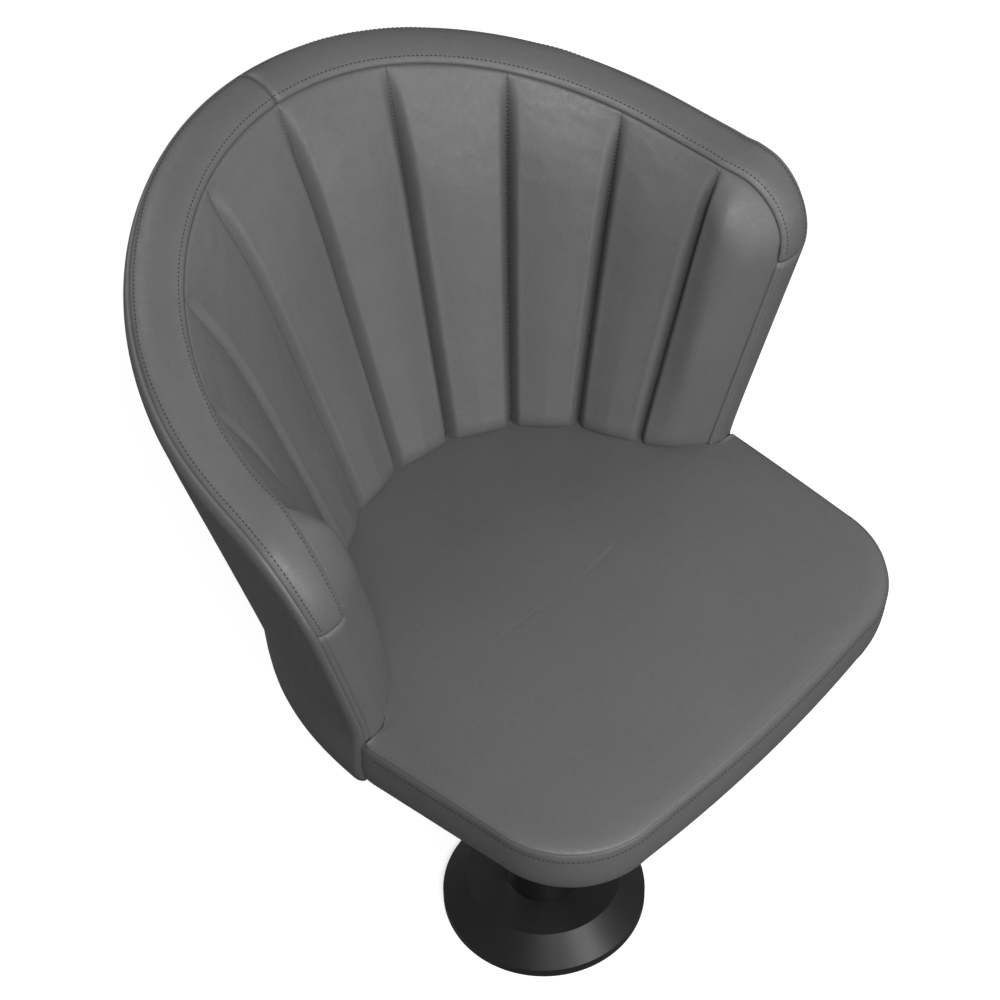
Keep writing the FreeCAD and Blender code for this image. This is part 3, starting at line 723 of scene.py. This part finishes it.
def thread_row(name, line, normals, mat, pitch=4.0, length=2.7, radius=0.42, lift=0.1):
    """Short rounded stitches along a line of points in millimetres, sunk a little at their ends."""
    line = np.asarray(line, float)
    s = np.concatenate([[0], np.cumsum(np.linalg.norm(np.diff(line, axis=0), axis=1))])
    count = max(1, int(s[-1] / pitch))
    pts, faces = [], []
    ring = [(-0.5, 0.25), (-0.38, 0.85), (0.0, 1.0), (0.38, 0.85), (0.5, 0.25)]
    for i in range(count):
        mid = (i + 0.5) * s[-1] / count
        ends = []
        for q in (mid - length / 2, mid + length / 2):
            q = min(max(q, 0), s[-1])
            ends.append(np.array([np.interp(q, s, line[:, c]) for c in range(3)]))
        a, b = ends
        way = b - a
        size = np.linalg.norm(way)
        if size < 1e-6:
            continue
        way /= size
        up = np.array([np.interp(mid, s, normals[:, c]) for c in range(3)])
        up -= way * (up @ way)
        up /= np.linalg.norm(up)
        side = np.cross(way, up)
        centre = (a + b) / 2 + up * lift
        start = len(pts)
        for t, r in ring:
            for q in range(6):
                angle = q * math.pi / 3
                sag = -radius * 0.9 * (2 * t) ** 2
                pts.append(centre + way * (t * length) + up * (math.sin(angle) * radius * r + sag)
                           + side * (math.cos(angle) * radius * r * 1.15))
        for m in range(4):
            for q in range(6):
                p0, p1 = start + m * 6 + q, start + m * 6 + (q + 1) % 6
                faces.append((p0, p1, p1 + 6, p0 + 6))
        faces.append(tuple(start + q for q in range(6))[::-1])
        faces.append(tuple(start + 24 + q for q in range(6)))
    return wear(make_mesh(name, np.array(pts), faces), mat)


def sew_pads():
    for index in range(SEAMS + 1):
        pad = make_pad(index, "pad_left_%d" % (index + 1))
        twin = mirror_of(pad, "pad_right_%d" % (index + 1))
        for obj, side in ((pad, "left"), (twin, "right")):
            wear(obj, mat_leather)
            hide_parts("channel_pad_%s_%d" % (side, index + 1))


def sew_creases():
    """Stitches that hold the creases between the pads."""
    for index in range(SEAMS + 1):
        ks = np.full(140, float(index))
        head = float(rim_z_at(np.array([float(index)]))[0])
        zs = np.linspace(JUNCTION + 6.0, head - 2.0, 140)
        base = wall(ks, zs, 0)
        into = base - wall(ks, zs, 1)
        into[:, 2] = 0
        into /= np.linalg.norm(into, axis=1)[:, None]
        deep = crease_depth(rim_distance(base[:, 1], zs))
        line = base + into * (CREASE_FLOOR * deep + PAD_AT_RIM * (1 - deep) + 0.35)[:, None]
        row = thread_row("stitch_pad_left_%d" % index, line, into, mat_pale_thread, 3.6, 2.3, 0.5)
        if index > 0:
            wear(mirror_of(row, "stitch_pad_right_%d" % index), mat_pale_thread)


sew_pads()
sew_creases()

# Rim band, arm strip and outer cover


def roll_piece(name, stations, seed, n=41, ridges=()):
    """Leather over the rim between two distances across it, tucked in at both seams."""
    rows, gaps = [], []
    for i in stations:
        across, height, run = EDGE.roll_line(i, INNER_SEAM, outer_seam_at(i), n)
        gap = np.minimum(run, run[-1] - run)
        sink = -1.5 * (1 - ease(gap / 1.6 + 0.02))
        for place in ridges:
            sink = sink - 0.7 * np.exp(-((gap - place) / 0.8) ** 2)
        rows.append(EDGE.point(i, across[:, None], (height + sink)[:, None]))
        gaps.append(gap)
    front, gap = np.array(rows), np.array(gaps)
    centre = EDGE.inner[stations] + EDGE.across[stations] * (EDGE.width[stations] * 0.5)[:, None]
    centre = centre - EDGE.up[stations] * 6.0
    outward = front - centre[:, None]
    outward /= np.linalg.norm(outward, axis=-1)[..., None]
    calm = np.clip(gap / 4.0, 0, 1)
    end = np.arange(len(stations))
    calm = calm * np.clip(np.minimum(end, end[::-1]) / 3.0, 0, 1)[:, None]
    lift = grid_noise(front, 50.0, seed) * 0.8 + grid_noise(front, 17.0, seed + 1) * 0.22
    lift = lift + grid_noise(front, 6.0, seed + 2) * 0.16 * np.exp(-gap / 6.0)
    front = front + outward * (lift * calm)[..., None]
    ends = np.clip(np.minimum(end, end[::-1]) / 1.0, 0, 1)
    front = front - outward * (1.2 * (1 - ends))[:, None, None]
    back = front - outward * 2.6
    pts, faces = closed_sheet(front, back)
    obj = make_mesh(name, pts, faces)
    return obj, (len(stations), n), gap


def outer_seam_at(i):
    """Distance across the rim of the seam between the band or strip and the outer cover."""
    return EDGE.width[i] - OUTER_SEAM + 2.0 * np.clip((i - EDGE.n_arc) / 20.0, 0, 1)


def row_at(grid, distance, from_outer):
    """Line on the band's surface at a distance along it from one seam, and its normals."""
    line, normals = [], []
    for i in range(len(grid)):
        pts = grid[i][::-1] if from_outer else grid[i]
        run = np.concatenate([[0], np.cumsum(np.linalg.norm(np.diff(pts, axis=0), axis=1))])
        spot = [np.interp(distance, run, pts[:, c]) for c in range(3)]
        a = np.array([np.interp(distance - 1.0, run, pts[:, c]) for c in range(3)])
        b = np.array([np.interp(distance + 1.0, run, pts[:, c]) for c in range(3)])
        line.append(spot)
        normals.append(b - a)
    line, slope = np.array(line), np.array(normals)
    along = np.gradient(line, axis=0)
    normals = np.cross(along, slope)
    normals /= np.linalg.norm(normals, axis=1)[:, None]
    normals *= np.sign((normals * EDGE.up[:len(line)]).sum(1))[:, None]
    return line, normals


def sew_rim():
    corner_last = EDGE.n_top - 1
    foot_steps = np.abs(EDGE.z[EDGE.n_top:] - (SEAT_EDGE_H - 16.0))
    foot = EDGE.n_top + int(np.argmin(foot_steps))
    over_top, down_front = list(range(corner_last + 1)), list(range(corner_last, foot + 1))
    band, band_shape, band_gap = roll_piece("rim_band_left_leather", over_top, 31)
    strip, strip_shape, strip_gap = roll_piece("arm_strip_left_leather", down_front, 41, 61, (STRIP_GROOVE,))
    for obj, shape, gap in ((band, band_shape, band_gap), (strip, strip_shape, strip_gap)):
        hold = np.ones(len(obj.data.vertices))
        end = np.arange(shape[0])
        inside = (gap > 5.0) & (np.minimum(end, end[::-1]) > 2)[:, None]
        hold[:shape[0] * shape[1]] = np.where(inside, 0.0, 1.0).ravel()
        stretch_leather(obj, hold, pressure=0.6, cap=0.4)
    band_front = front_grid(band, *band_shape)
    stitched = []
    for label, distance, from_outer in (("inner", INNER_STITCH, False), ("outer", OUTER_STITCH, True)):
        line, normals = row_at(band_front, distance, from_outer)
        stitched.append(thread_row("stitch_rim_%s_left" % label, line[:-2], normals[:-2], mat_thread))
    for row in stitched:
        wear(mirror_of(row, row.name.replace("left", "right")), mat_thread)
    for obj, node in ((band, "rim_band"), (strip, "arm_strip")):
        twin = mirror_of(obj, obj.name.replace("left", "right"))
        for piece, side in ((obj, "left"), (twin, "right")):
            wear(piece, mat_leather)
            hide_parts("%s_%s" % (node, side))


sew_rim()


def cover_grid():
    """Grid (k, z) of the outer cover: rows from its bottom edge up, columns from the middle of the
    back round to the front edge of the arm."""
    shares = (EDGE.z[EDGE.n_top - 1:][::-1] - UNDERSIDE) / (TANGENT_Z - UNDERSIDE)
    kz = []
    for i in range(len(EDGE.z)):
        k, z = EDGE.k_outer[i], EDGE.z[i]
        kc = min(k, SEAMS + 0.98)
        dk = (wall(kc + 0.01, z, 1) - wall(kc - 0.01, z, 1)) / 0.02
        dz = (wall(kc, z + 1, 1) - wall(kc, z - 1, 1)) / 2
        move = -(EDGE.drop[i] + 2.0) * EDGE.up[i]
        a = np.array([[dk @ dk, dk @ dz], [dk @ dz, dz @ dz]])
        sol = np.linalg.solve(a, np.array([dk @ move, dz @ move]))
        if i == 0:
            sol[0] = 0.0
        kz.append((k + sol[0], z + sol[1]))
    kz = np.array(kz)
    top = kz[:EDGE.n_top]
    right = kz[EDGE.n_top - 1:][::-1]
    columns = []
    for j in range(EDGE.n_arc):
        k1, z1 = top[j]
        k0 = j * SEAMS / (EDGE.n_arc - 1)
        columns.append(np.stack([k0 + (k1 - k0) * shares ** 3, UNDERSIDE + (z1 - UNDERSIDE) * shares], 1))
    left = columns[-1]
    patch = top[EDGE.n_arc - 1:]
    n = len(patch)
    d = np.concatenate([[0], np.cumsum(np.linalg.norm(np.diff(patch * [60.0, 1.0], axis=0), axis=1))])
    u = d / d[-1]
    bottom = np.stack([left[0, 0] + (right[0, 0] - left[0, 0]) * u, np.full(n, UNDERSIDE)], 1)
    v = shares[:, None]
    for j in range(1, n):
        sides = left * (1 - u[j]) + right * u[j]
        ends = bottom[j] * (1 - v) + patch[j] * v
        low = left[0] * (1 - u[j]) + right[0] * u[j]
        high = left[-1] * (1 - u[j]) + right[-1] * u[j]
        columns.append(sides + ends - low * (1 - v) - high * v)
    return np.stack(columns, 1)


def outer_cover():
    """Points and faces of one outer cover: the wall, its roll over the rim into the seam, and the
    hem turned in under its bottom edge."""
    grid = cover_grid()
    pts = wall(grid[..., 0], grid[..., 1], 1)
    rows, cols = pts.shape[:2]
    inward = wall(grid[..., 0], grid[..., 1], 0) - pts
    inward /= np.linalg.norm(inward, axis=-1)[..., None]
    above = pts[..., 2] - UNDERSIDE
    pts = pts + inward * (FOOT_ROUND * np.clip(1 - above / FOOT_ROUND_H, 0, 1) ** 2.2)[..., None]
    index_row, index_col = np.meshgrid(np.arange(rows), np.arange(cols), indexing="ij")
    fade = np.minimum(1.0, np.minimum(index_row, rows - 1 - index_row) / 4)
    fade = np.minimum(fade, np.minimum(1.0, (cols - 1 - index_col) / 6))
    fade = fade * np.minimum(1.0, index_col / 3)
    drift = grid_noise(pts, 130.0, 51) * 0.9 + grid_noise(pts, 40.0, 52) * 0.25
    pts = pts - inward * (drift * fade)[..., None]
    flat = list(pts.reshape(-1, 3))
    faces = grid_faces(rows, cols)
    border = [(rows - 1) * cols + j for j in range(cols)]
    border += [i * cols + cols - 1 for i in range(rows - 2, -1, -1)]
    previous = border
    steps = 12
    for step in range(steps + 4):
        row = []
        for s in range(len(border)):
            seam = outer_seam_at(s) + 0.3
            if step <= steps:
                across = EDGE.width[s] - (EDGE.width[s] - seam) * (1 - math.cos(step / steps * math.pi / 2))
                height = float(EDGE.roll(s, across)) - 1.4 * (1 - float(ease((steps - step) / 3.0)))
            else:
                across = seam - 0.2
                height = float(EDGE.roll(s, seam)) - 1.4 - 2.0 * (step - steps)
            across -= FOOT_ROUND * max(0.0, 1 - (EDGE.z[s] - UNDERSIDE) / FOOT_ROUND_H) ** 2.2
            row.append(len(flat))
            flat.append(EDGE.point(s, across, height))
        for s in range(len(border) - 1):
            faces.append((previous[s], previous[s + 1], row[s + 1], row[s]))
        previous = row
    foot = list(range(cols))
    for inset, up in ((1.5, -0.6), (4.0, -0.9), (8.0, -0.4), (12.0, 0.8)):
        row = []
        for j in range(cols):
            row.append(len(flat))
            flat.append(pts[0, j] + inward[0, j] * inset + np.array([0, 0, up]))
        for j in range(cols - 1):
            faces.append((foot[j + 1], foot[j], row[j], row[j + 1]))
        foot = row
    return np.array(flat), faces


def sew_cover():
    pts, faces = outer_cover()
    cover = make_mesh("outer_cover_left_leather", pts, faces)
    for piece, side in ((cover, "left"), (mirror_of(cover, "outer_cover_right_leather"), "right")):
        skin = piece.modifiers.new("thick", "SOLIDIFY")
        skin.thickness = COVER_SKIN
        skin.offset = -1.0
        wear(piece, mat_leather)
        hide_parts("outer_cover_%s" % side)


sew_cover()

# Seat


def seat_half(inset, z=None, n_side=26, n_corner=26, n_front=30):
    """Half outline of the seat, from the middle of the front round by +X to the arm's front edge."""
    front_side = SEAT_FRONT_HALF_W - inset
    front = -(SEAT_DEPTH - inset)
    r = SEAT_CORNER_R - inset
    cx, cy = front_side - r, front + r
    widening = (SEAT_HALF_W - SEAT_FRONT_HALF_W) / (FRONT_Y + SEAT_DEPTH - SEAT_CORNER_R)
    rear_y = ARM_FACE if z is None else front_y(min(z, JUNCTION)) - 0.5
    half = []
    for t in np.linspace(0, 1, n_front)[:-1]:
        half.append((cx * t, front - SEAT_BOW * (1 - t * t)))
    for a in np.linspace(-math.pi / 2, 0, n_corner)[:-1]:
        half.append((cx + r * math.cos(a), cy + r * math.sin(a)))
    for t in np.linspace(0, 1, n_side):
        y = cy + (rear_y - cy) * t
        half.append((front_side + widening * (y - cy), y))
    return np.array(half)


def seat_outline(inset, n_inner=44):
    """Whole outline of the seat's top, and how many of its points are the bare half from the front."""
    half = seat_half(inset)
    rear_r = INNER_R + 3.0
    turn = math.radians(SEAMS * STEP_LOW)
    rear = [(SEAT_HALF_W - step, ARM_FACE) for step in (2.0, 4.0, 7.0, 12.0, 17.0)]
    rear += [(ARM_X + 5.0, ARM_FACE), (ARM_X - 2.0, FRONT_Y - 2.0)]
    inner_end = rear[-1]
    for t in np.linspace(0, 1, 8)[1:]:
        rear.append((inner_end[0] + (rear_r * math.sin(turn) - inner_end[0]) * t,
                     inner_end[1] + (rear_r * math.cos(turn) - inner_end[1]) * t))
    for a in np.linspace(turn, 0, n_inner)[1:]:
        rear.append((rear_r * math.sin(a), rear_r * math.cos(a)))
    whole = np.concatenate([half, np.array(rear)])
    return np.concatenate([whole, whole[1:-1][::-1] * [-1, 1]]), len(half)


def seat_top_mesh():
    """The crowned top as rings round one centre, rolled down at its bare edge and tucked into the seam."""
    ring, n_half = seat_outline(0.0)
    rings, n = 60, len(ring)
    shares = 1 - np.linspace(0, 1, rings) ** 1.6
    centre = np.array([0.0, -40.0])
    at_arm = np.ones(len(ring), bool)
    at_arm[:n_half] = False
    at_arm[-(n_half - 2):] = False
    near_side = (1 - ease((SEAT_HALF_W - np.abs(ring[:, 0])) / SEAT_ROLL_REACH)) ** 1.15
    bare = np.where(at_arm, np.where(ring[:, 1] < FRONT_Y - 3.0, near_side, 0.0), 1.0)
    pts = []
    for s in shares[:-1]:
        xy = centre + (ring - centre) * s
        dist = (1 - s) * np.linalg.norm(ring - centre, axis=1)
        roll = bare * SEAT_ROLL * (1 - ease(dist / SEAT_ROLL_REACH)) ** 1.15
        pts.append(np.column_stack([xy, dome_z(xy) + TOP_SKIN - roll]))
    pts = np.concatenate(pts)
    pts = np.vstack([pts, [centre[0], centre[1], float(dome_z(centre[None])[0]) + TOP_SKIN]])
    drift = lattice_noise(pts, 120.0, 61) * 1.2 + lattice_noise(pts, 42.0, 62) * 0.35
    fade = np.repeat(np.minimum(1.0, (1 - shares[:-1]) * 6), n)
    pts[:-1, 2] += drift[:-1] * fade
    pts[-1, 2] += drift[-1]
    faces = []
    for i in range(rings - 2):
        for j in range(n):
            a, b = i * n + j, i * n + (j + 1) % n
            faces.append((a, b, b + n, a + n))
    last = (rings - 2) * n
    for j in range(n):
        faces.append((last + j, last + (j + 1) % n, len(pts) - 1))
    previous = 0
    for inset, drop in ((0.5, 1.2), (2.6, 3.2)):
        start = len(pts)
        inner, _ = seat_outline(inset)
        pts = np.vstack([pts, np.column_stack([inner, pts[:n, 2] - drop])])
        for j in range(n):
            a, b = previous + j, previous + (j + 1) % n
            faces.append((b, a, start + j, start + (j + 1) % n))
        previous = start
    return pts, faces, n, shares


def seat_border_mesh():
    """The border as rows (inset, height from its seam): over the seam, down the belly and in under."""
    rows = [(2.6, 3.6), (1.0, 1.2), (-0.2, 0.0), (-0.9, -2.0), (-1.4, -5.0)]
    for t in (8.0, 12.0, 16.0, 20.0, 24.0, 28.0, 32.0, 36.0, 40.0, 44.0, 48.0, 52.0):
        belly = -1.6 * math.sin(math.pi * (t + 8.0) / 60.0)
        rows.append((belly + 2.4 * max(0.0, (t - 24.0) / 28.0) ** 2.4, -t))
    rows += [(3.4, -54.5), (5.4, -56.0), (9.0, -56.6), (14.0, -56.6), (19.0, -55.5)]
    pts = []
    for inset, dz in rows:
        low = SEAT_EDGE_H - SEAT_ROLL + TOP_SKIN + dz
        drawn = BORDER_DRAW * min(1.0, max(0.0, -dz) / BORDER_H)
        half = seat_half(0.0)
        outer = seat_half(inset + drawn, z=low)
        share = min(1.0, max(0.0, -dz) / (BORDER_H - 8.0))
        top_z = dome_z(half) - SEAT_ROLL + TOP_SKIN - 1.0
        z = (top_z + dz) * (1 - share) + (SEAT_EDGE_H + dz) * share
        z = z - LEATHER_DROP * soft_step(share)
        grid_half = np.column_stack([outer, z])
        pts.append(np.concatenate([grid_half[1:][::-1] * [-1, 1, 1], grid_half]))
    grid = np.array(pts)
    cols = grid.shape[1]
    tail = np.minimum(np.arange(cols), np.arange(cols)[::-1])
    inward = np.array([0.0, 0.0]) - grid[..., :2]
    inward /= np.linalg.norm(inward, axis=-1)[..., None]
    tuck = np.where(tail == 0, 2.4, np.where(tail == 1, 0.5, 0.0))
    grid[..., 0] += inward[..., 0] * tuck
    drift = grid_noise(grid, 70.0, 71) * 0.7 + grid_noise(grid, 24.0, 72) * 0.2
    fade = np.zeros(len(rows))
    fade[4:15] = 1.0
    fade = fade[:, None] * np.minimum(1.0, tail / 4.0)
    grid[..., :2] -= inward * (drift * fade)[..., None]
    return grid.reshape(-1, 3), grid_faces(len(rows), cols, True), cols


def sew_seat_top():
    pts, faces, n_ring, ring_shares = seat_top_mesh()
    seat_top = make_mesh("seat_top_leather", pts, faces)
    hold = np.ones(len(pts))
    ring_pull = np.where(1 - ring_shares[:-1] > 0.06, 0.0, 1.0)
    hold[:len(ring_pull) * n_ring] = np.repeat(ring_pull, n_ring)
    hold[len(ring_pull) * n_ring] = 0.0
    stretch_leather(seat_top, hold, pressure=0.3, cap=0.12)
    wear(seat_top, mat_leather)
    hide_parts("seat_top_panel")


def sew_seat_border():
    pts, faces, cols = seat_border_mesh()
    seat_border = wear(make_mesh("seat_border_leather", pts, faces), mat_leather)
    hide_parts("seat_border")
    border = front_grid(seat_border, len(pts) // cols, cols)
    line = border[5] * 0.75 + border[6] * 0.25
    out = line * [1, 1, 0]
    out /= np.linalg.norm(out, axis=1)[:, None]
    thread_row("stitch_seat_edge", line[3:-3], out[3:-3], mat_thread)


sew_seat_top()
sew_seat_border()

# CAD pieces that keep their shape

FINISHES = {
    "floor_flange": mat_black_steel, "cone_cover": mat_black_cover, "column_tube": mat_black_steel,
    "upper_bush": mat_bush, "lower_bush": mat_bush, "thrust_washer": mat_zinc, "spindle": mat_bright,
    "end_washer": mat_zinc, "spindle_circlip": mat_spring, "seat_plate": mat_black_steel,
    "plate_bolts": mat_zinc, "plate_washers": mat_zinc, "tee_nuts": mat_zinc, "shell_screws": mat_zinc,
    "seat_board": mat_plywood, "back_shell": mat_plywood, "dust_cover": mat_lining,
    "seat_foam": mat_foam, "back_foam": mat_foam,
}
for node, mat in FINISHES.items():
    wear(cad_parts[node], mat)

# Floor, light and camera

def lay_floor():
    half, z = 6000.0, -0.5
    floor_pts = np.array([[-half, -half, z], [half, -half, z], [half, half, z], [-half, half, z]])
    floor = make_mesh("studio_floor", floor_pts, [(0, 1, 2, 3)], body=None, smooth=False)
    floor.visible_diffuse = False
    floor.visible_glossy = False
    floor_mat, _, _, shader = principled("pale_floor", (0.9, 0.9, 0.9), 0.9)
    shader.inputs["Emission Color"].default_value = (1.0, 1.0, 1.0, 1.0)
    shader.inputs["Emission Strength"].default_value = FLOOR_GLOW
    floor.data.materials.append(floor_mat)


def set_world():
    """White where the camera looks past the floor, and a dim even light on the chair."""
    world = bpy.data.worlds.new("studio")
    bpy.context.scene.world = world
    world.use_nodes = True
    nodes, links = world.node_tree.nodes, world.node_tree.links
    shown = nodes["Background"]
    shown.inputs["Color"].default_value = (1.0, 1.0, 1.0, 1.0)
    shown.inputs["Strength"].default_value = 1.0
    lighting = nodes.new("ShaderNodeBackground")
    lighting.inputs["Strength"].default_value = EVEN_LIGHT
    path = nodes.new("ShaderNodeLightPath")
    choose = nodes.new("ShaderNodeMixShader")
    links.new(path.outputs["Is Camera Ray"], choose.inputs["Fac"])
    links.new(lighting.outputs["Background"], choose.inputs[1])
    links.new(shown.outputs["Background"], choose.inputs[2])
    links.new(choose.outputs["Shader"], nodes["World Output"].inputs["Surface"])


def area(name, place, target, size, power):
    light = bpy.data.lights.new(name, "AREA")
    light.shape = "SQUARE"
    light.size = size
    light.energy = power
    obj = bpy.data.objects.new(name, light)
    bpy.context.scene.collection.objects.link(obj)
    obj.location = place
    obj.rotation_euler = (Vector(target) - Vector(place)).to_track_quat("-Z", "Y").to_euler()


def place_camera(azimuth, elevation, roll, place, lens):
    az, el, turn = math.radians(azimuth), math.radians(elevation), math.radians(roll)
    away = np.array([math.sin(az) * math.cos(el), -math.cos(az) * math.cos(el), math.sin(el)])
    right = np.cross([0, 0, 1.0], away)
    right /= np.linalg.norm(right)
    up = np.cross(away, right)
    cam_x = math.cos(turn) * right + math.sin(turn) * up
    cam_y = -math.sin(turn) * right + math.cos(turn) * up
    data = bpy.data.cameras.new("photo_camera")
    data.sensor_width = 36.0
    data.lens = lens
    data.clip_start = 0.05
    data.clip_end = 50.0
    camera = bpy.data.objects.new("photo_camera", data)
    bpy.context.scene.collection.objects.link(camera)
    facing = Matrix((cam_x, cam_y, away)).transposed().to_4x4()
    camera.matrix_world = Matrix.Translation(Vector(place)) @ facing
    bpy.context.scene.camera = camera


lay_floor()
set_world()
area("key", (-1.1, -1.6, 2.6), (0.0, 0.0, 0.55), 1.3, 62.0)
area("front", (-0.2, -2.4, 1.2), (0.0, 0.0, 0.5), 1.2, 23.0)
area("front_right", (1.0, -2.2, 1.5), (0.0, 0.0, 0.55), 1.3, 5.5)
area("right", (2.2, -0.3, 1.8), (0.0, 0.05, 0.55), 1.4, 9.0)
area("back", (-0.4, 2.1, 2.6), (0.0, 0.1, 0.6), 1.5, 25.0)

place_camera(-46.50, 46.53, -1.69, (-1.1565, -1.053, 2.217), 97.16)

view = bpy.context.scene.view_settings
view.view_transform = "Standard"
view.look = "None"
